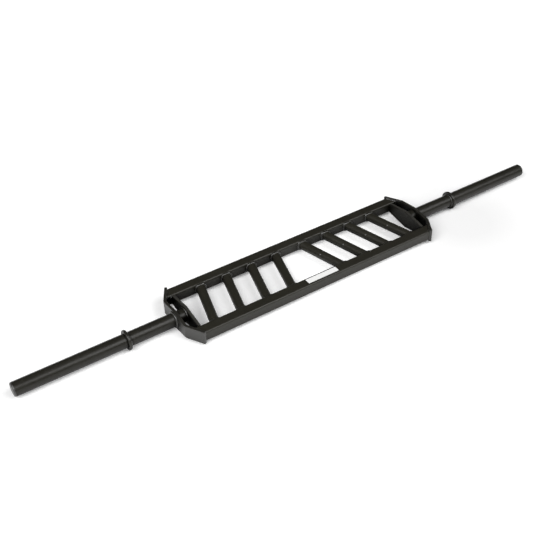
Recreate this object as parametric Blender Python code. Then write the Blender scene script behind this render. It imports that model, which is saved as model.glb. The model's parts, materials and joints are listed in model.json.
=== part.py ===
"""Angled multi-grip barbell for strength training, modelled piece by piece.

The bar lies along X and stands on the ground plane. Two square rails carry
eight slanted round grips. A bent end bracket and a cross plate close the
frame at each end and hold a hollow sleeve with a stop collar and an end plug.
Fillet welds join the pieces.
"""
import math

import bmesh
import bpy
from mathutils import Vector

# Square rails
RAIL_SIZE = 0.040
RAIL_WALL = 0.003
RAIL_CORNER_RADIUS = 0.006
RAIL_CORNER_STEPS = 4

# Round grips between the rails
GRIP_OD = 0.0334
GRIP_WALL = 0.003
GRIP_ANGLE = math.radians(15.0)
GRIP_LENGTH_ACROSS = 0.183
GRIP_INNER_SPACING = 0.1652
GRIP_SPACING = 0.1025
GRIPS_PER_SIDE = 4
GRIP_SEGMENTS = 28

# Cross plates that close the grip area
PLATE_THICKNESS = 0.010
PLATE_TO_LAST_GRIP = 0.0766
PLATE_SETBACK = 0.0007

# Bent end brackets outside the cross plates
BRACKET_THICKNESS = 0.010
BRACKET_GAP = 0.030
BRACKET_FLAT_WIDTH = 0.1468
BRACKET_BEND_ANGLE = math.radians(30.0)
BRACKET_BEND_RADIUS = 0.004
BRACKET_BEND_STEPS = 6
BRACKET_OVERHANG = 0.0007
BRACKET_WING_RISE = 0.005
PEAK_METAL = 0.00985
PLATE_EDGE_RADIUS = 0.0008

# Sleeves for the weight plates
SLEEVE_OD = 0.0483
SLEEVE_WALL = 0.005
SLEEVE_RACK_LENGTH = 0.1668
SLEEVE_LOAD_LENGTH = 0.3763
SLEEVE_EDGE = 0.0004
TURNED_SEGMENTS = 36

# Stop collars
COLLAR_THICKNESS = 0.010
COLLAR_SHOULDER = 0.01085
COLLAR_EDGE_RADIUS = 0.003
COLLAR_EDGE_STEPS = 3

# Plastic end plugs
PLUG_HEAD = 0.006
PLUG_EDGE_RADIUS = 0.0055
PLUG_EDGE_STEPS = 5
PLUG_STEM_LENGTH = 0.016
PLUG_STEM_WALL = 0.0025
PLUG_FIN_DEPTH = 0.002
PLUG_FIN_THICKNESS = 0.0015
PLUG_FIN_COUNT = 2
PLUG_SEGMENTS = 24

# Fillet welds, by the length of their legs
GRIP_WELD_LEG = 0.006
BRACKET_WELD_LEG = 0.006
PLATE_WELD_LEG = 0.005
COLLAR_WELD_LEG = 0.004
RAIL_WELD_LEG = 0.004
WELD_CROWN = 0.6
WELD_EDGE_MARGIN = 0.0027

# Gap kept between pieces that touch
CLEARANCE = 0.0003

# Places that follow from the sizes above
GRIP_HALF_SPAN = GRIP_LENGTH_ACROSS / 2.0
RAIL_Y = GRIP_HALF_SPAN + RAIL_SIZE / 2.0
RAIL_OUTER_Y = GRIP_HALF_SPAN + RAIL_SIZE
LAST_GRIP_X = GRIP_INNER_SPACING / 2.0 + GRIP_SPACING * (GRIPS_PER_SIDE - 1)
PLATE_INNER_X = LAST_GRIP_X + PLATE_TO_LAST_GRIP
PLATE_OUTER_X = PLATE_INNER_X + PLATE_THICKNESS
BRACKET_OUTER_X = PLATE_OUTER_X + BRACKET_GAP + BRACKET_THICKNESS
COLLAR_INNER_X = BRACKET_OUTER_X + SLEEVE_RACK_LENGTH
COLLAR_STOP_X = COLLAR_INNER_X + COLLAR_THICKNESS
BAR_END_X = COLLAR_STOP_X + SLEEVE_LOAD_LENGTH
PLUG_SEAT_X = BAR_END_X - PLUG_HEAD

SLEEVE_RADIUS = SLEEVE_OD / 2.0
SLEEVE_BORE = SLEEVE_RADIUS - SLEEVE_WALL
COLLAR_RADIUS = SLEEVE_RADIUS + COLLAR_SHOULDER
PEAK_HALF_HEIGHT = SLEEVE_RADIUS + PEAK_METAL
WING_HALF_HEIGHT = RAIL_SIZE / 2.0 + BRACKET_WING_RISE
PLATE_END_HALF_HEIGHT = RAIL_SIZE / 2.0 - PLATE_SETBACK
AXIS_HEIGHT = max(COLLAR_RADIUS, PEAK_HALF_HEIGHT)

# Ways to turn a piece, and the two ends of the bar
UNTURNED = (0.0, 0.0, 0.0)
HALF_TURN = (0.0, 0.0, math.pi)
FLIPPED = (0.0, math.pi, 0.0)
ENDS = (("left", -1.0, HALF_TURN), ("right", 1.0, UNTURNED))


def make_material(name, colour, roughness, metallic):
    material = bpy.data.materials.new(name)
    material.use_nodes = True
    shader = material.node_tree.nodes["Principled BSDF"]
    shader.inputs["Base Color"].default_value = (*colour, 1.0)
    shader.inputs["Roughness"].default_value = roughness
    shader.inputs["Metallic"].default_value = metallic
    material.diffuse_color = (*colour, 1.0)
    return material


def finish_mesh(bm, name, material):
    """Turn the faces outward and hand the edit mesh over to a smooth mesh."""
    bmesh.ops.recalc_face_normals(bm, faces=bm.faces)
    mesh = bpy.data.meshes.new(name)
    bm.to_mesh(mesh)
    bm.free()
    mesh.materials.append(material)
    mesh.shade_smooth()
    mesh.set_sharp_from_angle(angle=math.radians(35.0))
    return mesh


def place(name, mesh, parent, location, rotation=UNTURNED):
    piece = bpy.data.objects.new(name, mesh)
    bpy.context.scene.collection.objects.link(piece)
    piece.parent = parent
    piece.location = location
    piece.rotation_euler = rotation
    return piece


def loft_rings(bm, rings, closed):
    """Skin equal rings of points; a closed loft joins the last to the first."""
    loops = [[bm.verts.new(point) for point in ring] for ring in rings]
    pairs = list(zip(loops, loops[1:]))
    if closed:
        pairs.append((loops[-1], loops[0]))
    for lower, upper in pairs:
        count = len(lower)
        for index in range(count):
            after = (index + 1) % count
            bm.faces.new((lower[index], lower[after], upper[after], upper[index]))
    if not closed:
        bm.faces.new(loops[0])
        bm.faces.new(loops[-1])


def bead_section(leg):
    """Fillet outline as (along, up) distances from the corner of two walls."""
    return [
        (CLEARANCE, CLEARANCE),
        (CLEARANCE, leg),
        (leg * WELD_CROWN, leg * WELD_CROWN),
        (leg, CLEARANCE),
    ]


def corner_arc(centre, radius, start, sweep, steps):
    """Points of a round corner in a plane, from angle start through sweep."""
    points = []
    for step in range(steps + 1):
        angle = start + sweep * step / steps
        across = centre[0] + radius * math.cos(angle)
        along = centre[1] + radius * math.sin(angle)
        points.append((across, along))
    return points


def turn_profile(name, profile, segments, material):
    """Revolve a closed outline of (x, radius) points round the X axis."""
    bm = bmesh.new()
    verts = [bm.verts.new((x, 0.0, radius)) for x, radius in profile]
    edges = []
    for index, vert in enumerate(verts):
        edges.append(bm.edges.new((vert, verts[(index + 1) % len(verts)])))
    bmesh.ops.spin(
        bm,
        geom=verts + edges,
        cent=(0.0, 0.0, 0.0),
        axis=(1.0, 0.0, 0.0),
        dvec=(0.0, 0.0, 0.0),
        angle=math.tau,
        steps=segments,
        use_merge=True,
    )
    bmesh.ops.remove_doubles(bm, verts=bm.verts, dist=0.00001)
    on_axis = [edge for edge in bm.edges if not edge.link_faces]
    bmesh.ops.delete(bm, geom=on_axis, context="EDGES")
    return finish_mesh(bm, name, material)


def mitre_x(y):
    """Distance of the wing's inner face from the middle of the bar at width y."""
    cosine = math.cos(BRACKET_BEND_ANGLE)
    sine = math.sin(BRACKET_BEND_ANGLE)
    outer_offset = BRACKET_OUTER_X * cosine + BRACKET_FLAT_WIDTH / 2.0 * sine
    inner_offset = outer_offset - BRACKET_THICKNESS
    return (inner_offset - CLEARANCE - abs(y) * sine) / cosine


def square_section(half, radius):
    """Rounded square in the YZ plane."""
    centre = half - radius
    points = []
    for quarter in range(4):
        start = quarter * math.pi / 2.0
        sign_y = 1.0 if quarter in (0, 3) else -1.0
        sign_z = 1.0 if quarter in (0, 1) else -1.0
        middle = (sign_y * centre, sign_z * centre)
        points += corner_arc(middle, radius, start, math.pi / 2.0, RAIL_CORNER_STEPS)
    return points


def weld_lean(height):
    """How far a weld leans back at a height to follow a rail's rounded corner."""
    flat = RAIL_SIZE / 2.0 - RAIL_CORNER_RADIUS
    beyond = max(abs(height) - flat, 0.0)
    fall = RAIL_CORNER_RADIUS - math.sqrt(RAIL_CORNER_RADIUS**2 - beyond**2)
    return min(fall, CLEARANCE)


def build_rail(material):
    """Square tube whose ends are mitred against the bracket wings."""
    outer = square_section(RAIL_SIZE / 2.0, RAIL_CORNER_RADIUS)
    inner_radius = max(RAIL_CORNER_RADIUS - RAIL_WALL, RAIL_WALL / 6.0)
    inner = square_section(RAIL_SIZE / 2.0 - RAIL_WALL, inner_radius)
    rings = []
    for section, side in ((outer, -1.0), (outer, 1.0), (inner, 1.0), (inner, -1.0)):
        rings.append([(side * mitre_x(y + RAIL_Y), y, z) for y, z in section])
    bm = bmesh.new()
    loft_rings(bm, rings, closed=True)
    return finish_mesh(bm, "rail", material)


def slanted_point(index, radius, wall_y, along):
    """Point at a radius from a grip's axis, so far along it from the plane at wall_y."""
    angle = math.tau * index / GRIP_SEGMENTS
    axis = Vector((math.sin(GRIP_ANGLE), math.cos(GRIP_ANGLE), 0.0))
    across = Vector((math.cos(GRIP_ANGLE), -math.sin(GRIP_ANGLE), 0.0))
    up = Vector((0.0, 0.0, 1.0))
    spoke = radius * (math.cos(angle) * across + math.sin(angle) * up)
    return spoke + axis * ((wall_y - spoke.y) / axis.y + along)


def build_grip(material):
    """Slanted tube whose ends are cut flush with the rails."""
    half_span = GRIP_HALF_SPAN - CLEARANCE
    outer = GRIP_OD / 2.0
    bore = outer - GRIP_WALL
    indices = range(GRIP_SEGMENTS)
    rings = []
    for radius, side in ((outer, -1.0), (outer, 1.0), (bore, 1.0), (bore, -1.0)):
        wall_y = side * half_span
        rings.append([slanted_point(index, radius, wall_y, 0.0) for index in indices])
    bm = bmesh.new()
    loft_rings(bm, rings, closed=True)
    return finish_mesh(bm, "grip", material)


def build_grip_weld(material, side):
    """Fillet round a grip where it meets the rail on one side of the bar."""
    tube = GRIP_OD / 2.0
    highest = RAIL_SIZE / 2.0 - WELD_EDGE_MARGIN
    rings = []
    for along, up in bead_section(GRIP_WELD_LEG):
        ring = []
        for index in range(GRIP_SEGMENTS):
            rise = abs(math.sin(math.tau * index / GRIP_SEGMENTS))
            room = max(highest / max(rise, 0.001) - tube, 2.0 * CLEARANCE)
            radius = tube + max(min(up, room * up / GRIP_WELD_LEG), CLEARANCE)
            lean = weld_lean(radius * rise)
            wall_y = side * (GRIP_HALF_SPAN - CLEARANCE + lean)
            inward = -side * (along - CLEARANCE)
            ring.append(slanted_point(index, radius, wall_y, inward))
        rings.append(ring)
    bm = bmesh.new()
    loft_rings(bm, rings, closed=True)
    return finish_mesh(bm, "grip_weld", material)


def build_rail_weld(material, end):
    """Fillet along the top and inner side of a mitred rail end, its underside bare."""
    outline = square_section(RAIL_SIZE / 2.0, RAIL_CORNER_RADIUS)
    quarter = RAIL_CORNER_STEPS + 1
    path = outline[quarter - 1 : 2 * quarter + 1]
    centre = RAIL_SIZE / 2.0 - RAIL_CORNER_RADIUS
    rings = []
    for y, z in path:
        core_y = max(-centre, min(centre, y))
        core_z = max(-centre, min(centre, z))
        away = Vector((y - core_y, z - core_z)).normalized()
        ring = []
        for along, up in bead_section(RAIL_WELD_LEG):
            point_y = y + away.x * up
            point_z = z + away.y * up
            point_x = end * (mitre_x(point_y + RAIL_Y) + CLEARANCE - along)
            ring.append((point_x, point_y, point_z))
        rings.append(ring)
    bm = bmesh.new()
    loft_rings(bm, rings, closed=False)
    return finish_mesh(bm, "rail_weld", material)


def build_corner_weld(material):
    """Upright fillet in the corner of a cross plate and a rail, its corner at 0, 0."""
    flat = RAIL_SIZE / 2.0 - RAIL_CORNER_RADIUS
    reach = RAIL_SIZE / 2.0 - WELD_EDGE_MARGIN
    rings = []
    for height in (-reach, -flat, flat, reach):
        lean = weld_lean(height)
        rings.append([(x, lean - y, height) for x, y in bead_section(PLATE_WELD_LEG)])
    bm = bmesh.new()
    loft_rings(bm, rings, closed=False)
    return finish_mesh(bm, "plate_weld", material)


def build_ring_weld(name, material, leg):
    """Fillet round a sleeve, rising from a wall on x = 0 towards +X."""
    profile = [(along, SLEEVE_RADIUS + up) for along, up in bead_section(leg)]
    return turn_profile(name, profile, TURNED_SEGMENTS, material)


def build_cross_plate(material):
    """Flat plate between the rails with a peak above and below the sleeve."""
    half_width = GRIP_HALF_SPAN - CLEARANCE
    outline = [
        (0.0, PEAK_HALF_HEIGHT),
        (half_width, PLATE_END_HALF_HEIGHT),
        (half_width, -PLATE_END_HALF_HEIGHT),
        (0.0, -PEAK_HALF_HEIGHT),
        (-half_width, -PLATE_END_HALF_HEIGHT),
        (-half_width, PLATE_END_HALF_HEIGHT),
    ]
    bm = bmesh.new()
    face = bm.faces.new([bm.verts.new((0.0, y, z)) for y, z in outline])
    extruded = bmesh.ops.extrude_face_region(bm, geom=[face])
    moved = [item for item in extruded["geom"] if isinstance(item, bmesh.types.BMVert)]
    bmesh.ops.translate(bm, verts=moved, vec=(-PLATE_THICKNESS, 0.0, 0.0))
    return finish_mesh(bm, "cross_plate", material)


def bracket_stations():
    """Outer point, inner point and half height along half of the bent plate."""
    outside_radius = BRACKET_BEND_RADIUS + BRACKET_THICKNESS
    bend_y = BRACKET_FLAT_WIDTH / 2.0
    start_y = bend_y - outside_radius * math.tan(BRACKET_BEND_ANGLE / 2.0)
    centre = (-outside_radius, start_y)
    outer_arc = corner_arc(
        centre, outside_radius, 0.0, BRACKET_BEND_ANGLE, BRACKET_BEND_STEPS
    )
    inner_arc = corner_arc(
        centre, BRACKET_BEND_RADIUS, 0.0, BRACKET_BEND_ANGLE, BRACKET_BEND_STEPS
    )
    cosine = math.cos(BRACKET_BEND_ANGLE)
    sine = math.sin(BRACKET_BEND_ANGLE)
    inner_tip_y = RAIL_OUTER_Y + BRACKET_OVERHANG
    wing = (inner_tip_y + BRACKET_THICKNESS * sine - bend_y) / cosine
    outer_tip = (-wing * sine, bend_y + wing * cosine)
    inner_tip = (
        outer_tip[0] - BRACKET_THICKNESS * cosine,
        outer_tip[1] - BRACKET_THICKNESS * sine,
    )
    stations = [((0.0, 0.0), (-BRACKET_THICKNESS, 0.0), PEAK_HALF_HEIGHT)]
    for outer, inner in zip(outer_arc, inner_arc):
        stations.append((outer, inner, WING_HALF_HEIGHT))
    stations.append((outer_tip, inner_tip, WING_HALF_HEIGHT))
    return stations


def build_bracket(material):
    """Plate with swept-back wings and a peaked outline, lofted along its bends."""
    half = bracket_stations()
    mirrored = []
    for outer, inner, height in reversed(half[1:]):
        mirrored.append(((outer[0], -outer[1]), (inner[0], -inner[1]), height))
    rings = []
    for outer, inner, height in mirrored + half:
        rings.append(
            [
                (outer[0], outer[1], height),
                (outer[0], outer[1], -height),
                (inner[0], inner[1], -height),
                (inner[0], inner[1], height),
            ]
        )
    bm = bmesh.new()
    loft_rings(bm, rings, closed=False)
    return finish_mesh(bm, "end_bracket", material)


def build_sleeve(material):
    """Hollow tube from the cross plate through the bracket to the plug."""
    length = PLUG_SEAT_X - PLATE_OUTER_X - 2.0 * CLEARANCE
    edge = SLEEVE_EDGE
    profile = [
        (0.0, SLEEVE_RADIUS),
        (length - edge, SLEEVE_RADIUS),
        (length, SLEEVE_RADIUS - edge),
        (length, SLEEVE_BORE),
        (0.0, SLEEVE_BORE),
    ]
    return turn_profile("sleeve", profile, TURNED_SEGMENTS, material)


def build_collar(material):
    """Stop ring with rounded rims, its stop face on x = 0."""
    bore = SLEEVE_RADIUS + CLEARANCE
    edge = COLLAR_EDGE_RADIUS
    middle = COLLAR_RADIUS - edge
    quarter = math.pi / 2.0
    profile = [(0.0, bore)]
    profile += corner_arc((-edge, middle), edge, 0.0, quarter, COLLAR_EDGE_STEPS)
    inner_middle = (edge - COLLAR_THICKNESS, middle)
    profile += corner_arc(inner_middle, edge, quarter, quarter, COLLAR_EDGE_STEPS)
    profile.append((-COLLAR_THICKNESS, bore))
    return turn_profile("collar", profile, TURNED_SEGMENTS, material)


def build_plug(material):
    """Domed plastic head with a hollow finned stem, seated on x = 0."""
    edge = PLUG_EDGE_RADIUS
    stem = SLEEVE_BORE - PLUG_FIN_DEPTH
    fin = SLEEVE_BORE - CLEARANCE
    quarter = math.pi / 2.0
    profile = [(PLUG_HEAD, 0.0)]
    rim = corner_arc(
        (PLUG_HEAD - edge, SLEEVE_RADIUS - edge), edge, 0.0, quarter, PLUG_EDGE_STEPS
    )
    profile += rim
    profile += [(0.0, SLEEVE_RADIUS), (0.0, stem)]
    step = PLUG_STEM_LENGTH / (PLUG_FIN_COUNT + 1)
    for index in range(PLUG_FIN_COUNT):
        front = -step * (index + 1)
        back = front - PLUG_FIN_THICKNESS
        profile += [(front, stem), (front, fin), (back, fin), (back, stem)]
    profile += [
        (-PLUG_STEM_LENGTH, stem),
        (-PLUG_STEM_LENGTH, stem - PLUG_STEM_WALL),
        (0.0, stem - PLUG_STEM_WALL),
        (0.0, 0.0),
    ]
    return turn_profile("end_plug", profile, PLUG_SEGMENTS, material)


def round_edges(piece):
    bevel = piece.modifiers.new("edge rounding", "BEVEL")
    bevel.width = PLATE_EDGE_RADIUS
    bevel.segments = 2
    bevel.limit_method = "ANGLE"
    bevel.angle_limit = math.radians(40.0)


def cut_hole(piece, parent, location):
    """Clearance hole for the sleeve, cut along X through a plate."""
    bm = bmesh.new()
    bmesh.ops.create_cone(
        bm,
        cap_ends=True,
        segments=TURNED_SEGMENTS,
        radius1=SLEEVE_RADIUS + CLEARANCE,
        radius2=SLEEVE_RADIUS + CLEARANCE,
        depth=BRACKET_THICKNESS * 3.0,
    )
    mesh = bpy.data.meshes.new(piece.name + "_hole")
    bm.to_mesh(mesh)
    bm.free()
    cutter = place(piece.name + "_hole", mesh, parent, location)
    cutter.rotation_euler = (0.0, math.pi / 2.0, 0.0)
    cutter.hide_render = True
    cutter.display_type = "WIRE"
    boolean = piece.modifiers.new("sleeve hole", "BOOLEAN")
    boolean.operation = "DIFFERENCE"
    boolean.solver = "EXACT"
    boolean.object = cutter


def place_rails(bar_axis, rail_coat, weld_coat):
    rail = build_rail(rail_coat)
    left_weld = build_rail_weld(weld_coat, -1.0)
    right_weld = build_rail_weld(weld_coat, 1.0)
    rear = (0.0, RAIL_Y, 0.0)
    front = (0.0, -RAIL_Y, 0.0)
    place("rear_rail", rail, bar_axis, rear)
    place("rear_rail_left_weld", left_weld, bar_axis, rear)
    place("rear_rail_right_weld", right_weld, bar_axis, rear)
    place("front_rail", rail, bar_axis, front, HALF_TURN)
    place("front_rail_left_weld", right_weld, bar_axis, front, HALF_TURN)
    place("front_rail_right_weld", left_weld, bar_axis, front, HALF_TURN)


def place_grips(bar_axis, grip_coat, weld_coat):
    """Grips numbered from left to right, slanted the other way on the right."""
    grip = build_grip(grip_coat)
    front_weld = build_grip_weld(weld_coat, -1.0)
    rear_weld = build_grip_weld(weld_coat, 1.0)
    centres = []
    for slot in range(GRIPS_PER_SIDE):
        x = GRIP_INNER_SPACING / 2.0 + GRIP_SPACING * slot
        centres.append((x, FLIPPED))
        centres.insert(0, (-x, UNTURNED))
    for number, (x, turn) in enumerate(centres, start=1):
        name = "grip_%d" % number
        place(name, grip, bar_axis, (x, 0.0, 0.0), turn)
        place(name + "_front_weld", front_weld, bar_axis, (x, 0.0, 0.0), turn)
        place(name + "_rear_weld", rear_weld, bar_axis, (x, 0.0, 0.0), turn)


def place_brackets(bar_axis, plate_coat, bracket_coat, weld_coat):
    """Cross plates and end brackets with the welds round the sleeves and rails."""
    plate = build_cross_plate(plate_coat)
    bracket = build_bracket(bracket_coat)
    bracket_weld = build_ring_weld("bracket_weld", weld_coat, BRACKET_WELD_LEG)
    sleeve_weld = build_ring_weld("sleeve_weld", weld_coat, PLATE_WELD_LEG)
    corner_weld = build_corner_weld(weld_coat)
    for name, side, turn in ENDS:
        plate_at = (side * PLATE_OUTER_X, 0.0, 0.0)
        bracket_at = (side * BRACKET_OUTER_X, 0.0, 0.0)
        round_edges(place(name + "_cross_plate", plate, bar_axis, plate_at, turn))
        place(name + "_sleeve_weld", sleeve_weld, bar_axis, plate_at, turn)
        end_bracket = place(name + "_end_bracket", bracket, bar_axis, bracket_at, turn)
        round_edges(end_bracket)
        cut_hole(end_bracket, bar_axis, bracket_at)
        place(name + "_bracket_weld", bracket_weld, bar_axis, bracket_at, turn)
    for name, x_side, y_side, turn in (
        ("right_rear", 1.0, 1.0, UNTURNED),
        ("right_front", 1.0, -1.0, (math.pi, 0.0, 0.0)),
        ("left_rear", -1.0, 1.0, FLIPPED),
        ("left_front", -1.0, -1.0, HALF_TURN),
    ):
        corner = (x_side * PLATE_OUTER_X, y_side * GRIP_HALF_SPAN, 0.0)
        place(name + "_plate_weld", corner_weld, bar_axis, corner, turn)


def place_sleeves(bar_axis, sleeve_coat, collar_coat, plug_plastic, weld_coat):
    """Sleeves with their stop collars and end plugs."""
    sleeve = build_sleeve(sleeve_coat)
    collar = build_collar(collar_coat)
    plug = build_plug(plug_plastic)
    collar_weld = build_ring_weld("collar_weld", weld_coat, COLLAR_WELD_LEG)
    for name, side, turn in ENDS:
        sleeve_at = (side * (PLATE_OUTER_X + CLEARANCE), 0.0, 0.0)
        collar_back = (side * COLLAR_INNER_X, 0.0, 0.0)
        turned_back = (0.0, 0.0, turn[2] + math.pi)
        place(name + "_sleeve", sleeve, bar_axis, sleeve_at, turn)
        place(name + "_collar", collar, bar_axis, (side * COLLAR_STOP_X, 0.0, 0.0), turn)
        place(name + "_collar_weld", collar_weld, bar_axis, collar_back, turned_back)
        place(name + "_end_plug", plug, bar_axis, (side * PLUG_SEAT_X, 0.0, 0.0), turn)


def build_model():
    for old in list(bpy.data.objects):
        bpy.data.objects.remove(old, do_unlink=True)

    coat = (0.028, 0.028, 0.030)
    rail_coat = make_material("rail_powder_coat", coat, 0.45, 0.0)
    grip_coat = make_material("grip_powder_coat", coat, 0.42, 0.0)
    plate_coat = make_material("cross_plate_powder_coat", coat, 0.48, 0.0)
    bracket_coat = make_material("bracket_powder_coat", coat, 0.46, 0.0)
    weld_coat = make_material("weld_powder_coat", coat, 0.40, 0.0)
    sleeve_coat = make_material("sleeve_satin_coat", (0.032, 0.033, 0.036), 0.38, 0.1)
    collar_coat = make_material("collar_satin_coat", (0.034, 0.034, 0.036), 0.36, 0.1)
    plug_plastic = make_material("plug_black_plastic", (0.020, 0.020, 0.021), 0.5, 0.0)

    bar_axis = bpy.data.objects.new("bar_axis", None)
    bpy.context.scene.collection.objects.link(bar_axis)
    bar_axis.location = (0.0, 0.0, AXIS_HEIGHT)

    place_rails(bar_axis, rail_coat, weld_coat)
    place_grips(bar_axis, grip_coat, weld_coat)
    place_brackets(bar_axis, plate_coat, bracket_coat, weld_coat)
    place_sleeves(bar_axis, sleeve_coat, collar_coat, plug_plastic, weld_coat)


build_model()
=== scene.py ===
"""Looks of the angled multi-grip barbell: finishes, welds, label and studio."""

import json
import math

import bmesh
import bpy
from mathutils import Matrix, Vector


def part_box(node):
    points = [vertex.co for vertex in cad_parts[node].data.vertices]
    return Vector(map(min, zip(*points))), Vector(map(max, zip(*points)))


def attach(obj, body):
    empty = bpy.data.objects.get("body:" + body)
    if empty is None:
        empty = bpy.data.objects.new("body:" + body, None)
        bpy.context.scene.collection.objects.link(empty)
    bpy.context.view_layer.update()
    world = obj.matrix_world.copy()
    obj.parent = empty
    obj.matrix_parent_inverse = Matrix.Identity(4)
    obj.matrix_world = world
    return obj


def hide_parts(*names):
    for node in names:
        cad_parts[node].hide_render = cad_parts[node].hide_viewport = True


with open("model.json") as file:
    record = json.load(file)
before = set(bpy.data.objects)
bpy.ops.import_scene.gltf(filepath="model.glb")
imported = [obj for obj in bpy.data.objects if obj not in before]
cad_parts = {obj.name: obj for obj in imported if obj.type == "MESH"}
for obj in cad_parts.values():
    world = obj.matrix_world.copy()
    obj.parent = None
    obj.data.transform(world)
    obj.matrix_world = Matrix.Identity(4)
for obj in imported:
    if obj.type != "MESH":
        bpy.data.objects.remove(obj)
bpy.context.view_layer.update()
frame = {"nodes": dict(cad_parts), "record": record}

# Height of the bar's axis, read from a sleeve
sleeve_low, sleeve_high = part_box("right_sleeve")
AXIS_Z = (sleeve_low.z + sleeve_high.z) / 2.0
UPWARD = Vector((0.0, 0.0, 1.0))

# Main sizes of the bar in metres, which the welds and the label follow
RAIL_HALF = 0.020
RAIL_ROUND = 0.006
RAIL_FACE_Y = 0.0915
RAIL_Y = 0.1115
GRIP_RADIUS = 0.0167
GRIP_SLANT = math.radians(15.0)
GRIP_CENTRES = (-0.3901, -0.2876, -0.1851, -0.0826, 0.0826, 0.1851, 0.2876, 0.3901)
SLEEVE_RADIUS = 0.02415
PLATE_FACE_X = 0.4767
BRACKET_FACE_X = 0.5167
BRACKET_THICKNESS = 0.010
BRACKET_BEND_Y = 0.0734
COLLAR_BACK_X = 0.6835
WING_SLOPE = math.radians(30.0)

# Colours of the finishes
COAT = (0.0152, 0.0144, 0.0112)
FRAME_COAT = (0.0194, 0.0183, 0.0136)
# Lighter colour of the vent spots: a painted glint
SPOT_GLINT_GREY = (0.045, 0.044, 0.041)
PLUG_BLACK = (0.020, 0.0198, 0.0186)
# Grey of real dust, also used for the painted highlight on upward faces
DUST_AND_HIGHLIGHT_GREY = (0.10, 0.098, 0.092)
# Painted shade: the colour that deep gaps turn to
GAP_SHADE_BLACK = (0.0003, 0.0003, 0.0003)
RUBBED_GREY = (0.085, 0.083, 0.080)
SCUFF_GREY = (0.075, 0.075, 0.078)
LABEL_BLACK = (0.020, 0.020, 0.021)
LABEL_WHITE = (0.94, 0.94, 0.93)

# Clouds of colour: the darkest and the lightest shade as shares of the colour
COAT_SHADES = (0.78, 1.3)
PLASTIC_SHADES = (1.0, 1.5)
LABEL_SHADES = (0.93, 1.0)

# Noise of the finishes: scale, detail and roughness
CLOUDS = (11.0, 4.0, 0.6)
DUST = (95.0, 5.0, 0.65)
ORANGE_PEEL = (520.0, 2.0, 0.5)
GRIT = (1500.0, 2.0, 0.5)
STREAKS = (1.0, 4.0, 0.6)
STREAK_STRETCH = (3.0, 260.0, 260.0)
FLOW_CLOUDS = (45.0, 3.0, 0.5)
SPARK_GRAIN = (1100.0, 3.0, 0.7)
SCUFFS = (260.0, 4.0, 0.7)
SMUDGES = (60.0, 4.0, 0.6)
PEBBLE = (900.0, 2.0, 0.5)

# Bumps of the finishes: strength and height
PEEL_BUMP = (0.16, 0.0004)
GRIT_BUMP = (0.05, 0.0001)
GRAIN_BUMP = (0.22, 0.00012)
PEBBLE_BUMP = (0.10, 0.0001)

# Values between which each mask of a finish passes from none to all
EDGE_RANGE = (0.86, 0.99)
UPWARD_RANGE = (0.80, 0.97)
OPEN_RANGE = (0.28, 0.72)
DUSTY_RANGE = (0.52, 0.78)
RUBBED_RANGE = (0.40, 0.62)
STREAK_RANGE = (0.45, 0.75)
SCUFF_RANGE = (0.58, 0.72)

# Other numbers of the finishes: reaches of the masks, shares and roughness
EDGE_RADIUS = 0.0012
EDGE_SAMPLES = 4
GAP_REACH = 0.10
GAP_SAMPLES = 8
GAP_REST = 0.03
DUST_MOST = 0.10
SCUFF_MOST = 0.22
WEAR_POLISH = 0.25
SHEEN_SPREAD = 0.05
LABEL_SPREAD = (-0.05, 0.08)
SPECULAR_LEVEL = 0.5
PLASTIC_ROUGHNESS = (0.36, 0.46)
PLASTIC_IOR = 1.72

# Angles in degrees over which an edge of a piece stays sharp
SURFACE_SHARP = 50.0
WELD_SHARP = 80.0
SHEET_SHARP = 30.0

# Limits in the copies of CAD nodes: points merged, and faces taken as one flat face
MERGE_DISTANCE = 0.00001
FLAT_ANGLE = math.radians(0.4)


# Node helpers
def new_material(name):
    material = bpy.data.materials.new(name)
    material.use_nodes = True
    tree = material.node_tree
    shader = tree.nodes["Principled BSDF"]
    return material, tree, shader


def noise(tree, coordinates, pattern):
    """Noise of a pattern, which is its scale, detail and roughness."""
    scale, detail, roughness = pattern
    node = tree.nodes.new("ShaderNodeTexNoise")
    node.inputs["Scale"].default_value = scale
    node.inputs["Detail"].default_value = detail
    node.inputs["Roughness"].default_value = roughness
    tree.links.new(coordinates, node.inputs["Vector"])
    return node.outputs["Fac"]


def map_range(tree, value, low, high, start=0.3, end=0.7):
    """A value from low to high while the given one goes from start to end."""
    node = tree.nodes.new("ShaderNodeMapRange")
    node.inputs["From Min"].default_value = start
    node.inputs["From Max"].default_value = end
    node.inputs["To Min"].default_value = low
    node.inputs["To Max"].default_value = high
    tree.links.new(value, node.inputs["Value"])
    return node.outputs["Result"]


def maths(tree, operation, first, second):
    node = tree.nodes.new("ShaderNodeMath")
    node.operation = operation
    for socket, value in zip(node.inputs, (first, second)):
        if isinstance(value, float):
            socket.default_value = value
        else:
            tree.links.new(value, socket)
    return node.outputs["Value"]


def mix_colour(tree, factor, first, second):
    """Mix of two colours, each a fixed one or a node's output."""
    node = tree.nodes.new("ShaderNodeMix")
    node.data_type = "RGBA"
    tree.links.new(factor, node.inputs["Factor"])
    inputs = [socket for socket in node.inputs if socket.type == "RGBA"]
    for socket, colour in zip(inputs, (first, second)):
        if isinstance(colour, tuple):
            socket.default_value = (*colour, 1.0)
        else:
            tree.links.new(colour, socket)
    return [socket for socket in node.outputs if socket.type == "RGBA"][0]


def bump(tree, height, strength, distance, normal=None):
    node = tree.nodes.new("ShaderNodeBump")
    node.inputs["Strength"].default_value = strength
    node.inputs["Distance"].default_value = distance
    tree.links.new(height, node.inputs["Height"])
    if normal is not None:
        tree.links.new(normal, node.inputs["Normal"])
    return node.outputs["Normal"]


def stretched(tree, scale):
    """Object coordinates stretched by a scale on each axis."""
    source = tree.nodes.new("ShaderNodeTexCoord")
    mapping = tree.nodes.new("ShaderNodeMapping")
    mapping.inputs["Scale"].default_value = scale
    tree.links.new(source.outputs["Object"], mapping.inputs["Vector"])
    return mapping.outputs["Vector"]


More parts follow.
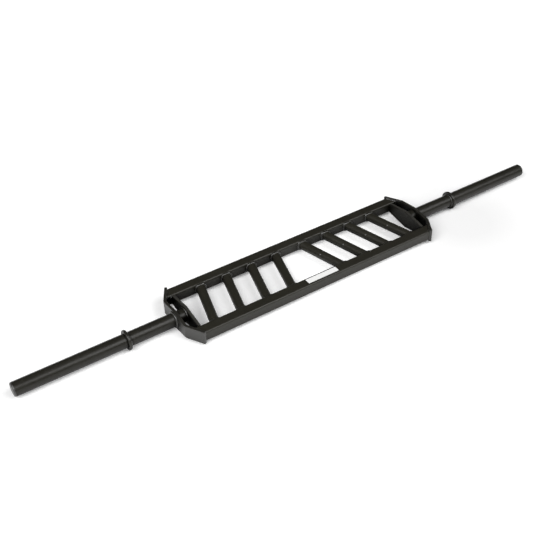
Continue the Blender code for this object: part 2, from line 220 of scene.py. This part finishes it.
def edge_mask(tree):
    """One on outer edges, where the rounded normal leaves the true one."""
    rounded = tree.nodes.new("ShaderNodeBevel")
    rounded.samples = EDGE_SAMPLES
    rounded.inputs["Radius"].default_value = EDGE_RADIUS
    geometry = tree.nodes.new("ShaderNodeNewGeometry")
    dot = tree.nodes.new("ShaderNodeVectorMath")
    dot.operation = "DOT_PRODUCT"
    tree.links.new(rounded.outputs["Normal"], dot.inputs[0])
    tree.links.new(geometry.outputs["Normal"], dot.inputs[1])
    return map_range(tree, dot.outputs["Value"], 1.0, 0.0, *EDGE_RANGE)


def upward_highlight_mask(tree, most):
    """Painted highlight: the given share on faces that look up, and none elsewhere."""
    geometry = tree.nodes.new("ShaderNodeNewGeometry")
    parts = tree.nodes.new("ShaderNodeSeparateXYZ")
    tree.links.new(geometry.outputs["Normal"], parts.inputs["Vector"])
    return map_range(tree, parts.outputs["Z"], 0.0, most, *UPWARD_RANGE)


def gap_shade_mask(tree):
    """One in the open, near zero deep in a gap: the mask of the painted shade."""
    hollow = tree.nodes.new("ShaderNodeAmbientOcclusion")
    hollow.samples = GAP_SAMPLES
    hollow.inputs["Distance"].default_value = GAP_REACH
    return map_range(tree, hollow.outputs["AO"], GAP_REST, 1.0, *OPEN_RANGE)


def shades(colour, factors):
    """The darkest and the lightest shade of a colour."""
    return [tuple(channel * factor for channel in colour) for factor in factors]


def powder_coat(name, colour, roughness, streaks=0.0, gloss=1.5, rub=0.30, top_highlight=0.0):
    """Satin black coat: orange peel, cloudy sheen, dust, rubbed edges, painted shade in
    gaps, painted top highlight.
    """
    material, tree, shader = new_material(name)
    here = stretched(tree, (1.0, 1.0, 1.0))
    cloud = noise(tree, here, CLOUDS)
    dust = noise(tree, here, DUST)
    coat = mix_colour(tree, cloud, *shades(colour, COAT_SHADES))
    dusty = map_range(tree, dust, 0.0, DUST_MOST, *DUSTY_RANGE)
    coat = mix_colour(tree, dusty, coat, DUST_AND_HIGHLIGHT_GREY)
    # Painted highlight: upward faces turn lighter
    if top_highlight:
        coat = mix_colour(tree, upward_highlight_mask(tree, top_highlight), coat, DUST_AND_HIGHLIGHT_GREY)
    # Painted shade: the coat turns black deep in gaps
    unshaded_share = gap_shade_mask(tree)
    coat = mix_colour(tree, unshaded_share, GAP_SHADE_BLACK, coat)
    rubbed = map_range(tree, dust, 0.0, 1.0, *RUBBED_RANGE)
    wear = maths(tree, "MULTIPLY", edge_mask(tree), rubbed)
    wear = maths(tree, "MULTIPLY", wear, rub)
    coat = mix_colour(tree, wear, coat, RUBBED_GREY)
    tree.links.new(coat, shader.inputs["Base Color"])
    sheen = map_range(tree, cloud, roughness - SHEEN_SPREAD, roughness + SHEEN_SPREAD)
    polish = maths(tree, "MULTIPLY", wear, WEAR_POLISH)
    sheen = maths(tree, "SUBTRACT", sheen, polish)
    if streaks:
        along = noise(tree, stretched(tree, STREAK_STRETCH), STREAKS)
        polish = map_range(tree, along, 0.0, streaks, *STREAK_RANGE)
        sheen = maths(tree, "SUBTRACT", sheen, polish)
    tree.links.new(sheen, shader.inputs["Roughness"])
    normal = bump(tree, noise(tree, here, ORANGE_PEEL), *PEEL_BUMP)
    normal = bump(tree, noise(tree, here, GRIT), *GRIT_BUMP, normal)
    tree.links.new(normal, shader.inputs["Normal"])
    # Painted shade: reflections fade deep in gaps too
    level = maths(tree, "MULTIPLY", unshaded_share, SPECULAR_LEVEL)
    tree.links.new(level, shader.inputs["Specular IOR Level"])
    shader.inputs["IOR"].default_value = gloss
    return material


def moulded_plastic(name, colour):
    """Black plastic with a fine spark-eroded grain and faint flow clouds."""
    material, tree, shader = new_material(name)
    here = stretched(tree, (1.0, 1.0, 1.0))
    cloud = noise(tree, here, FLOW_CLOUDS)
    plastic = mix_colour(tree, cloud, *shades(colour, PLASTIC_SHADES))
    scuff = map_range(tree, noise(tree, here, SCUFFS), 0.0, SCUFF_MOST, *SCUFF_RANGE)
    plastic = mix_colour(tree, scuff, plastic, SCUFF_GREY)
    tree.links.new(plastic, shader.inputs["Base Color"])
    sheen = map_range(tree, cloud, *PLASTIC_ROUGHNESS)
    tree.links.new(sheen, shader.inputs["Roughness"])
    normal = bump(tree, noise(tree, here, SPARK_GRAIN), *GRAIN_BUMP)
    tree.links.new(normal, shader.inputs["Normal"])
    shader.inputs["IOR"].default_value = PLASTIC_IOR
    return material


def label_vinyl(name, colour, roughness):
    """Bare vinyl with a slight pebble, smudges and a soft sheen."""
    material, tree, shader = new_material(name)
    here = stretched(tree, (1.0, 1.0, 1.0))
    smudge = noise(tree, here, SMUDGES)
    vinyl = mix_colour(tree, smudge, *shades(colour, LABEL_SHADES))
    tree.links.new(vinyl, shader.inputs["Base Color"])
    low, high = LABEL_SPREAD
    sheen = map_range(tree, smudge, roughness + low, roughness + high)
    tree.links.new(sheen, shader.inputs["Roughness"])
    normal = bump(tree, noise(tree, here, PEBBLE), *PEBBLE_BUMP)
    tree.links.new(normal, shader.inputs["Normal"])
    return material


# The finish of each material slot, and those of the welds and the label
finishes = {
    "rail": powder_coat("rail_coat", FRAME_COAT, 0.35, gloss=1.40),
    "grip": powder_coat("grip_coat", FRAME_COAT, 0.34, gloss=1.40),
    # The cross plates carry a painted highlight along their upward faces
    "cross_plate": powder_coat("plate_coat", COAT, 0.46, gloss=1.30, top_highlight=0.22),
    "end_bracket": powder_coat("bracket_coat", COAT, 0.42, gloss=1.66, rub=0.50),
    "sleeve": powder_coat("sleeve_coat", COAT, 0.35, gloss=1.36, streaks=0.06),
    "collar": powder_coat("collar_coat", COAT, 0.34, gloss=1.45),
    "end_plug": moulded_plastic("plug_plastic", PLUG_BLACK),
}
weld_coat = powder_coat("weld_coat", COAT, 0.28, gloss=1.72)
spot_glint_coat = powder_coat("spot_glint_coat", SPOT_GLINT_GREY, 0.32, gloss=1.80)
border_vinyl = label_vinyl("label_border_vinyl", LABEL_BLACK, 0.35)
field_vinyl = label_vinyl("label_field_vinyl", LABEL_WHITE, 0.38)


def add_piece(name, mesh, finish, sharp_angle):
    """Put a mesh into the scene as a piece that rides on the bar."""
    mesh.materials.clear()
    mesh.materials.append(finish)
    mesh.shade_smooth()
    mesh.set_sharp_from_angle(angle=math.radians(sharp_angle))
    piece = bpy.data.objects.new(name, mesh)
    bpy.context.scene.collection.objects.link(piece)
    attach(piece, "root")
    return piece


def skin(edit, rings, closed=False):
    """Faces between each ring of points and the next one."""
    pairs = list(zip(rings, rings[1:]))
    if closed:
        pairs.append((rings[-1], rings[0]))
    for lower, upper in pairs:
        count = len(lower)
        for index in range(count):
            after = (index + 1) % count
            edit.faces.new((lower[index], lower[after], upper[after], upper[index]))


def add_shape(name, edit, finish, sharp_angle):
    """Add an edited mesh as a piece, with its faces turned outward."""
    bmesh.ops.recalc_face_normals(edit, faces=edit.faces)
    mesh = bpy.data.meshes.new(name)
    edit.to_mesh(mesh)
    edit.free()
    return add_piece(name, mesh, finish, sharp_angle)


def smooth_copy(node, finish):
    """A copy of a CAD node with shared points and smooth rounds stands for it."""
    edit = bmesh.new()
    edit.from_mesh(frame["nodes"][node].data)
    bmesh.ops.remove_doubles(edit, verts=edit.verts, dist=MERGE_DISTANCE)
    bmesh.ops.dissolve_limit(
        edit, angle_limit=FLAT_ANGLE, verts=edit.verts, edges=edit.edges
    )
    mesh = bpy.data.meshes.new(node + "_surface")
    edit.to_mesh(mesh)
    edit.free()
    if "custom_normal" in mesh.attributes:
        mesh.attributes.remove(mesh.attributes["custom_normal"])
    piece = add_piece(node + "_surface", mesh, finish, SURFACE_SHARP)
    flat_faces = piece.modifiers.new("flat faces stay flat", "WEIGHTED_NORMAL")
    flat_faces.weight = 100
    flat_faces.keep_sharp = True
    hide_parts(node)


def build_surfaces():
    for entry in frame["record"]["subparts"]:
        slot = entry["material_slot"]
        if slot != "weld":
            smooth_copy(entry["node"], finishes[slot])


def corner_fall(height):
    """How far a rail's rounded corner falls back from its face at a height."""
    beyond = min(max(abs(height) - RAIL_HALF + RAIL_ROUND, 0.0), RAIL_ROUND)
    return RAIL_ROUND - math.sqrt(RAIL_ROUND**2 - beyond**2)


def grip_axes(centre_x):
    """Level directions along and across a slanted grip."""
    slant = GRIP_SLANT if centre_x < 0.0 else -GRIP_SLANT
    along = Vector((math.sin(slant), math.cos(slant), 0.0))
    across = Vector((math.cos(slant), -math.sin(slant), 0.0))
    return along, across


# Weld beads with the overlapping ripples of a hand-laid fillet
RIPPLE_LENGTH = 0.0034
RIPPLE_DEPTH = 0.055
RIPPLE_LAG = 0.45
RIPPLE_SHARPNESS = 0.6
SWAYS = ((0.035, 211.0, 0.0), (0.025, 517.0, 1.0))
BEAD_STEP = 0.0006
BEAD_FACES = 7
FILLET_POWER = 1.08
ROOT_DEPTH = 0.0003
EDGE_MARGIN = 0.0009
LEAST_RISE = 0.001
TAPER_START = 0.45
TAPER_STEP = 0.12
CORNER_REACH = 0.0180

# Leg lengths of the beads
GRIP_LEG = 0.0058
SLEEVE_LEG = 0.0056
BRACKET_LEG = 0.0062
COLLAR_LEG = 0.0038
RAIL_LEG = 0.0040
CORNER_LEG = 0.0048


def bead_outline(leg, travelled):
    """Distances (along, up) of one slice of a bead, with the root inside the joint."""
    sway = 1.0
    for size, rate, start in SWAYS:
        sway += size * math.sin(travelled * rate + start)
    outline = [(-ROOT_DEPTH, -ROOT_DEPTH)]
    for index in range(BEAD_FACES + 1):
        angle = math.pi / 2.0 * index / BEAD_FACES
        belly = math.sin(2.0 * angle)
        turn = math.pi * (travelled / RIPPLE_LENGTH - RIPPLE_LAG * belly)
        wave = abs(math.cos(turn)) ** RIPPLE_SHARPNESS
        swell = sway * (1.0 - RIPPLE_DEPTH + 2.0 * RIPPLE_DEPTH * wave * belly)
        along = leg * swell * math.sin(angle) ** FILLET_POWER
        up = leg * swell * math.cos(angle) ** FILLET_POWER
        outline.append((along, up))
    outline[1] = (-ROOT_DEPTH, outline[1][1])
    outline[-1] = (outline[-1][0], -ROOT_DEPTH)
    return outline


def taper(step, last):
    """Share of a bead's full size near its two ends."""
    return min(1.0, TAPER_START + TAPER_STEP * min(step, last - step))


def steps_round(radius):
    """Angle and distance travelled at each step round a tube, in whole ripples."""
    steps = int(math.tau * radius / BEAD_STEP)
    ripples = round(math.tau * radius / RIPPLE_LENGTH)
    for step in range(steps):
        yield math.tau * step / steps, ripples * RIPPLE_LENGTH * step / steps


def build_bead(node, slices, closed):
    """Skin the slices of a bead and let it stand for the plain fillet of the CAD."""
    edit = bmesh.new()
    rings = [[edit.verts.new(point) for point in ring] for ring in slices]
    skin(edit, rings, closed)
    if not closed:
        edit.faces.new(rings[0])
        edit.faces.new(rings[-1])
    piece = add_shape(node + "_bead", edit, weld_coat, WELD_SHARP)
    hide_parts(node)


def ring_bead(node, wall_x, direction, leg):
    """Bead round a sleeve, rising from a wall across the bar."""
    slices = []
    for angle, travelled in steps_round(SLEEVE_RADIUS):
        ring = []
        for along, up in bead_outline(leg, travelled):
            radius = SLEEVE_RADIUS + up
            y = radius * math.cos(angle)
            z = radius * math.sin(angle) + AXIS_Z
            ring.append((wall_x + direction * along, y, z))
        slices.append(ring)
    build_bead(node, slices, closed=True)


def grip_bead(node, centre_x, side, leg):
    """Bead round a slanted grip that follows the rail's face and rounded corners."""
    axis, across = grip_axes(centre_x)
    slices = []
    for angle, travelled in steps_round(GRIP_RADIUS):
        rise = max(abs(math.sin(angle)), LEAST_RISE)
        room = (RAIL_HALF - EDGE_MARGIN) / rise - GRIP_RADIUS
        ring = []
        for along, up in bead_outline(leg, travelled):
            if up > 0.0 and room < leg:
                up = up * room / leg
            radius = GRIP_RADIUS + up
            spoke = radius * (math.cos(angle) * across + math.sin(angle) * UPWARD)
            wall_y = side * (RAIL_FACE_Y + corner_fall(spoke.z))
            reach = (wall_y - spoke.y) / axis.y - side * along
            ring.append(Vector((centre_x, 0.0, AXIS_Z)) + spoke + axis * reach)
        slices.append(ring)
    build_bead(node, slices, closed=True)


def wing_x(y):
    """Distance of a bracket wing's inner face from the middle of the bar."""
    cosine = math.cos(WING_SLOPE)
    sine = math.sin(WING_SLOPE)
    offset = BRACKET_FACE_X * cosine + BRACKET_BEND_Y * sine - BRACKET_THICKNESS
    return (offset - abs(y) * sine) / cosine


def rail_bead(node, x_side, y_side, leg):
    """Bead over the top and down the inner side of a rail, against the wing."""
    flat = RAIL_HALF - RAIL_ROUND
    flat_steps = int((2.0 * flat) / BEAD_STEP) + 1
    round_steps = int(math.pi / 2.0 * RAIL_ROUND / BEAD_STEP)
    path = []
    for step in range(flat_steps):
        path.append((flat - step * BEAD_STEP, RAIL_HALF, 0.0, 1.0))
    for step in range(1, round_steps):
        angle = math.pi / 2.0 * (1.0 + step / round_steps)
        y, z = math.cos(angle), math.sin(angle)
        path.append((-flat + RAIL_ROUND * y, flat + RAIL_ROUND * z, y, z))
    for step in range(flat_steps):
        path.append((-RAIL_HALF, flat - step * BEAD_STEP, -1.0, 0.0))
    slices = []
    for step, (y, z, out_y, out_z) in enumerate(path):
        tapered = leg * taper(step, len(path) - 1)
        ring = []
        for along, up in bead_outline(tapered, step * BEAD_STEP):
            point_y = RAIL_Y + y + out_y * up
            point_x = wing_x(point_y) - along
            ring.append((x_side * point_x, y_side * point_y, AXIS_Z + z + out_z * up))
        slices.append(ring)
    build_bead(node, slices, closed=False)


def corner_bead(node, x_side, y_side, leg):
    """Upright bead in the corner of a cross plate and a rail."""
    steps = int(2.0 * CORNER_REACH / BEAD_STEP)
    slices = []
    for step in range(steps + 1):
        tapered = leg * taper(step, steps)
        height = 2.0 * CORNER_REACH * step / steps - CORNER_REACH
        wall_y = RAIL_FACE_Y + corner_fall(height)
        ring = []
        for along, up in bead_outline(tapered, step * BEAD_STEP):
            point_x = x_side * (PLATE_FACE_X + along)
            ring.append((point_x, y_side * (wall_y - up), AXIS_Z + height))
        slices.append(ring)
    build_bead(node, slices, closed=False)


def build_beads():
    for number, centre_x in enumerate(GRIP_CENTRES, start=1):
        grip_bead("grip_%d_front_weld" % number, centre_x, -1.0, GRIP_LEG)
        grip_bead("grip_%d_rear_weld" % number, centre_x, 1.0, GRIP_LEG)
    for name, x_side in (("left", -1.0), ("right", 1.0)):
        ring_bead(name + "_sleeve_weld", x_side * PLATE_FACE_X, x_side, SLEEVE_LEG)
        wall_x = x_side * BRACKET_FACE_X
        ring_bead(name + "_bracket_weld", wall_x, x_side, BRACKET_LEG)
        ring_bead(name + "_collar_weld", x_side * COLLAR_BACK_X, -x_side, COLLAR_LEG)
        for place, y_side in (("front", -1.0), ("rear", 1.0)):
            rail_bead("%s_rail_%s_weld" % (place, name), x_side, y_side, RAIL_LEG)
            node = "%s_%s_plate_weld" % (name, place)
            corner_bead(node, x_side, y_side, CORNER_LEG)


# Spots of weld that close the grips' vent holes, on the flanks towards the bar's
# middle, lighter than the coat as a painted glint
SPOT_TILT = math.radians(50.0)
SPOT_RADIUS = 0.0034
SPOT_HEIGHT = 0.0014
SPOT_DEPTH = 0.00045
SPOT_SIDES = 24
SPOT_RINGS = 6


def build_spot(number, centre_x):
    """Low dome at half length of a grip, let into the tube's side."""
    along, across = grip_axes(centre_x)
    inward = across * -math.copysign(1.0, centre_x)
    out = math.sin(SPOT_TILT) * inward + math.cos(SPOT_TILT) * UPWARD
    side = along.cross(out)
    centre = Vector((centre_x, 0.0, AXIS_Z)) + out * GRIP_RADIUS
    profile = [(SPOT_RADIUS, -SPOT_DEPTH)]
    for step in range(SPOT_RINGS):
        angle = math.pi / 2.0 * step / SPOT_RINGS
        profile.append((SPOT_RADIUS * math.cos(angle), SPOT_HEIGHT * math.sin(angle)))
    edit = bmesh.new()
    rings = []
    for radius, height in profile:
        ring = []
        for step in range(SPOT_SIDES):
            angle = math.tau * step / SPOT_SIDES
            offset = radius * (math.cos(angle) * along + math.sin(angle) * side)
            ring.append(edit.verts.new(centre + offset + out * height))
        rings.append(ring)
    top = edit.verts.new(centre + out * SPOT_HEIGHT)
    skin(edit, rings)
    for index in range(SPOT_SIDES):
        edit.faces.new((rings[-1][index], rings[-1][(index + 1) % SPOT_SIDES], top))
    edit.faces.new(rings[0])
    piece = add_shape("grip_%d_vent_spot" % number, edit, spot_glint_coat, WELD_SHARP)


def build_spots():
    for number, centre_x in enumerate(GRIP_CENTRES, start=1):
        build_spot(number, centre_x)


# Bare label on the front rail: a dark-edged white field without any lettering
LABEL_LEFT = -0.0620
LABEL_RIGHT = 0.0667
LABEL_FRONT = -0.1233
LABEL_BACK = -0.0976
LABEL_BORDER = 0.0014
LABEL_CORNER = 0.0020
FIELD_CORNER = 0.0012
LABEL_THICKNESS = 0.00025
FIELD_THICKNESS = 0.00006
SHEET_SINK = 0.0001
RIM_DROP = 0.00008
RIM_PULL = 0.00010


def rounded_outline(x_low, x_high, y_low, y_high, radius, steps=5):
    """Points round a rectangle with rounded corners."""
    points = []
    corners = (
        (x_high - radius, y_high - radius, 0.0),
        (x_low + radius, y_high - radius, 0.5),
        (x_low + radius, y_low + radius, 1.0),
        (x_high - radius, y_low + radius, 1.5),
    )
    for x, y, start in corners:
        for step in range(steps + 1):
            angle = math.pi * (start + 0.5 * step / steps)
            points.append((x + radius * math.cos(angle), y + radius * math.sin(angle)))
    return points


def build_sheet(name, outline, low, high, finish):
    """Thin sheet with a softened upper rim."""
    edit = bmesh.new()
    middle_x = sum(point[0] for point in outline) / len(outline)
    middle_y = sum(point[1] for point in outline) / len(outline)
    rings = []
    for height, pull in ((low, 0.0), (high - RIM_DROP, 0.0), (high, RIM_PULL)):
        ring = []
        for x, y in outline:
            inward = Vector((middle_x - x, middle_y - y, 0.0)).normalized() * pull
            ring.append(edit.verts.new(Vector((x, y, height)) + inward))
        rings.append(ring)
    skin(edit, rings)
    edit.faces.new(rings[0])
    edit.faces.new(rings[-1])
    piece = add_shape(name, edit, finish, SHEET_SHARP)


def build_label():
    top = AXIS_Z + RAIL_HALF
    high = top + LABEL_THICKNESS
    edge = rounded_outline(
        LABEL_LEFT, LABEL_RIGHT, LABEL_FRONT, LABEL_BACK, LABEL_CORNER
    )
    build_sheet("label_backing", edge, top - SHEET_SINK, high, border_vinyl)
    field = rounded_outline(
        LABEL_LEFT + LABEL_BORDER,
        LABEL_RIGHT - LABEL_BORDER,
        LABEL_FRONT + LABEL_BORDER,
        LABEL_BACK - LABEL_BORDER,
        FIELD_CORNER,
    )
    rim = high + FIELD_THICKNESS
    build_sheet("label_field", field, high - SHEET_SINK, rim, field_vinyl)


build_surfaces()
build_beads()
build_spots()
build_label()


# Floor: its size, its colour, its lift far from the bar, a painted shade right of the
# right bracket and a painted pool of light in the frame's right half
FLOOR_SIZE = 60.0
PAPER_WHITE = (0.93, 0.93, 0.93, 1.0)
FLOOR_LIFT_SEEN = 0.20
FLOOR_LIFT_MIRRORED = 0.18
FLOOR_MIDDLE = (0.0, 0.0, 0.0)
FLOOR_LIFT_REACH = (1.15, 2.4)
PAINTED_SHADE_PLACE = (0.68, -0.10, 0.0)
PAINTED_SHADE_REACH = (0.10, 0.40)
PAINTED_LIGHT_PLACE = (0.17, 0.0, 0.0)
PAINTED_LIGHT_REACH = (0.12, 0.34)
PAINTED_LIGHT_LIFT = 0.20

# World: white at the horizon and dark above it
WORLD_WHITE = (1.0, 1.0, 1.0, 1.0)
HORIZON = 0.60
CEILING = 0.012
HORIZON_TOP = 0.02
DARK_FROM = 0.12
SKY_LIFT_MIRRORED = 0.004

# Lamps: name, direction from the bar, side over distance, and brightness of the face
LAMP_DISTANCE = 12.0
LAMPS = (
    ("right_box", (0.36, -0.55, 0.75), 0.66, 4.7),
    ("left_box", (-0.64, -0.30, 0.70), 0.72, 5.8),
)


def ray_kinds(tree):
    """One for rays from the camera itself, and one for mirrored or bent rays."""
    path = tree.nodes.new("ShaderNodeLightPath")
    glossy, bent = path.outputs["Is Glossy Ray"], path.outputs["Is Transmission Ray"]
    return path.outputs["Is Camera Ray"], maths(tree, "MAXIMUM", glossy, bent)


def distance_mask(tree, centre, inside, outside, reach):
    """A value that goes from inside to outside with the distance from a place."""
    place = tree.nodes.new("ShaderNodeNewGeometry")
    aside = tree.nodes.new("ShaderNodeVectorMath")
    aside.operation = "DISTANCE"
    aside.inputs[1].default_value = centre
    tree.links.new(place.outputs["Position"], aside.inputs[0])
    return map_range(tree, aside.outputs["Value"], inside, outside, *reach)


def build_floor():
    """White floor, lifted for the camera and for reflections, most far from the bar,
    with a painted shade and a painted pool of light near it.
    """
    bpy.ops.mesh.primitive_plane_add(size=FLOOR_SIZE, location=FLOOR_MIDDLE)
    floor = bpy.context.active_object
    floor.name = "studio_floor"
    material = bpy.data.materials.new("studio_floor")
    material.use_nodes = True
    tree = material.node_tree
    tree.nodes.clear()
    paper = tree.nodes.new("ShaderNodeBsdfDiffuse")
    paper.inputs["Color"].default_value = PAPER_WHITE
    lift = tree.nodes.new("ShaderNodeEmission")
    wanted = distance_mask(tree, FLOOR_MIDDLE, FLOOR_LIFT_SEEN, 1.0, FLOOR_LIFT_REACH)
    # Painted shade on the floor right of the right bracket
    unshaded_floor = distance_mask(tree, PAINTED_SHADE_PLACE, 0.0, 1.0, PAINTED_SHADE_REACH)
    wanted = maths(tree, "MULTIPLY", wanted, unshaded_floor)
    # Painted pool of light on the floor inside the frame's right half
    painted_light = distance_mask(tree, PAINTED_LIGHT_PLACE, PAINTED_LIGHT_LIFT, 0.0, PAINTED_LIGHT_REACH)
    wanted = maths(tree, "ADD", wanted, painted_light)
    camera_ray, mirror_ray = ray_kinds(tree)
    seen = maths(tree, "MULTIPLY", camera_ray, wanted)
    mirrored = maths(tree, "MULTIPLY", mirror_ray, FLOOR_LIFT_MIRRORED)
    tree.links.new(maths(tree, "ADD", seen, mirrored), lift.inputs["Strength"])
    total = tree.nodes.new("ShaderNodeAddShader")
    tree.links.new(paper.outputs["BSDF"], total.inputs[0])
    tree.links.new(lift.outputs["Emission"], total.inputs[1])
    output = tree.nodes.new("ShaderNodeOutputMaterial")
    tree.links.new(total.outputs["Shader"], output.inputs["Surface"])
    floor.data.materials.append(material)


def soft_box(name, direction, side, radiance):
    """Far square lamp aimed at the bar, whose face shows the given brightness."""
    light = bpy.data.lights.new(name, "AREA")
    light.shape = "SQUARE"
    light.size = side * LAMP_DISTANCE
    light.energy = radiance * math.pi * light.size * light.size
    lamp = bpy.data.objects.new(name, light)
    lamp.location = Vector(direction).normalized() * LAMP_DISTANCE
    lamp.rotation_euler = (-lamp.location).to_track_quat("-Z", "Y").to_euler()
    bpy.context.scene.collection.objects.link(lamp)


def build_world():
    """White for the camera; for the bar white at the horizon and dark above it."""
    world = bpy.data.worlds.new("studio")
    bpy.context.scene.world = world
    world.use_nodes = True
    tree = world.node_tree
    background = tree.nodes["Background"]
    direction = tree.nodes.new("ShaderNodeTexCoord")
    split = tree.nodes.new("ShaderNodeSeparateXYZ")
    tree.links.new(direction.outputs["Generated"], split.inputs["Vector"])
    height = split.outputs["Z"]
    fade = map_range(tree, height, HORIZON, CEILING, HORIZON_TOP, DARK_FROM)
    fade.node.interpolation_type = "SMOOTHSTEP"
    camera_ray, mirror_ray = ray_kinds(tree)
    mirrored = maths(tree, "MULTIPLY", mirror_ray, SKY_LIFT_MIRRORED)
    around = maths(tree, "ADD", fade, mirrored)
    strength = maths(tree, "MAXIMUM", around, camera_ray)
    background.inputs["Color"].default_value = WORLD_WHITE
    tree.links.new(strength, background.inputs["Strength"])


build_floor()
build_world()
for lamp in LAMPS:
    soft_box(*lamp)


# Camera solved from the photograph
IMAGE_SIZE = 533.0
FOCAL_PIXELS = 865.06
CENTRE_PIXELS = (16.42, -14.30)
CAMERA_FROM_AXIS = (-1.36848, -1.96749, 1.91408)
CAMERA_YAW = 0.57779
CAMERA_PITCH = 0.66075
CAMERA_ROLL = -0.01908
CLIP_END = 100.0
SENSOR = 36.0


def build_camera():
    data = bpy.data.cameras.new("photo_camera")
    data.sensor_width = SENSOR
    data.lens = FOCAL_PIXELS * SENSOR / IMAGE_SIZE
    data.shift_x = -CENTRE_PIXELS[0] / IMAGE_SIZE
    data.shift_y = CENTRE_PIXELS[1] / IMAGE_SIZE
    data.clip_end = CLIP_END
    camera = bpy.data.objects.new("photo_camera", data)
    bpy.context.scene.collection.objects.link(camera)
    camera.location = Vector(CAMERA_FROM_AXIS) + Vector((0.0, 0.0, AXIS_Z))
    turn = Matrix.Rotation(-CAMERA_YAW, 3, "Z")
    tilt = Matrix.Rotation(math.pi / 2.0 - CAMERA_PITCH, 3, "X")
    roll = Matrix.Rotation(CAMERA_ROLL, 3, "Z")
    camera.rotation_euler = (turn @ tilt @ roll).to_euler()
    bpy.context.scene.camera = camera


build_camera()
bpy.context.scene.view_settings.view_transform = "Standard"

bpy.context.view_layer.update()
